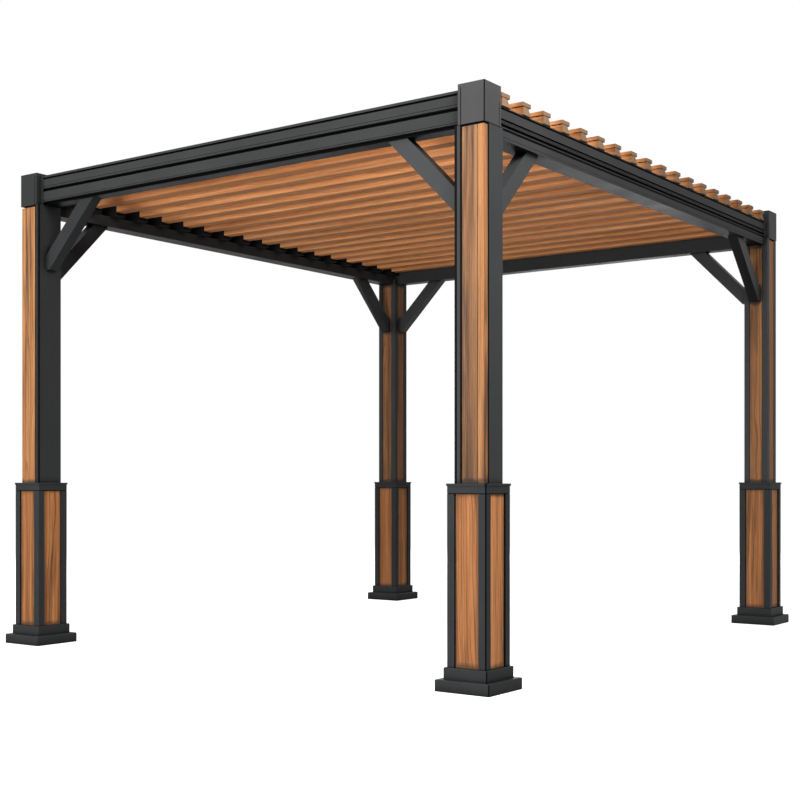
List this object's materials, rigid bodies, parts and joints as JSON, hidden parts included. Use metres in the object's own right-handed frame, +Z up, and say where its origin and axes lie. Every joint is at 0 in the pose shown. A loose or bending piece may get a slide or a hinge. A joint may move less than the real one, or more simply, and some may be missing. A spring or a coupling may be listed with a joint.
{
  "type": "garden pergola",
  "caption": "Free-standing garden pergola: clad posts on panelled pedestals, stepped dark metal beams with knee braces, and a roof of spaced wooden slats.",
  "frame": {"origin": "on the ground at the middle of the footprint, level with the undersides of the plinths", "axes": "+Z up, +X along the front beam from the left post to the right post, +Y from front to back"},
  "size_m": [3.143, 3.588, 2.585],
  "materials": {
    "frame_metal": "dark grey powder coat, satin",
    "beam_metal": "dark grey powder coat, satin",
    "plinth_metal": "dark grey powder coat, satin",
    "shoe_metal": "near-black powder coat, matt",
    "panel_wood": "oiled warm brown boards with dark streaks",
    "board_wood": "oiled warm brown boards with dark streaks",
    "slat_wood": "oiled warm brown slats with paler cut ends"
  },
  "bodies": {
    "root": {"plinth_front_left": "plinth_metal", "pedestal_frame_front_left": "frame_metal", "pedestal_panels_front_left": "panel_wood", "post_front_left": "frame_metal", "post_boards_front_left": "board_wood", "connector_front_left": "frame_metal", "brace_x_front_left": "frame_metal", "brace_y_front_left": "frame_metal", "plinth_front_right": "plinth_metal", "pedestal_frame_front_right": "frame_metal", "pedestal_panels_front_right": "panel_wood", "post_front_right": "frame_metal", "post_boards_front_right": "board_wood", "connector_front_right": "frame_metal", "brace_x_front_right": "frame_metal", "brace_y_front_right": "frame_metal", "plinth_back_left": "plinth_metal", "pedestal_frame_back_left": "frame_metal", "pedestal_panels_back_left": "panel_wood", "post_back_left": "frame_metal", "post_boards_back_left": "board_wood", "connector_back_left": "frame_metal", "brace_x_back_left": "frame_metal", "brace_y_back_left": "frame_metal", "plinth_back_right": "plinth_metal", "pedestal_frame_back_right": "frame_metal", "pedestal_panels_back_right": "panel_wood", "post_back_right": "frame_metal", "post_boards_back_right": "board_wood", "connector_back_right": "frame_metal", "brace_x_back_right": "frame_metal", "brace_y_back_right": "frame_metal", "beam_front": "beam_metal", "beam_back": "beam_metal", "beam_left": "beam_metal", "beam_right": "beam_metal", "roof_slats": "slat_wood", "slat_shoes": "shoe_metal"}
  },
  "joints": []
}
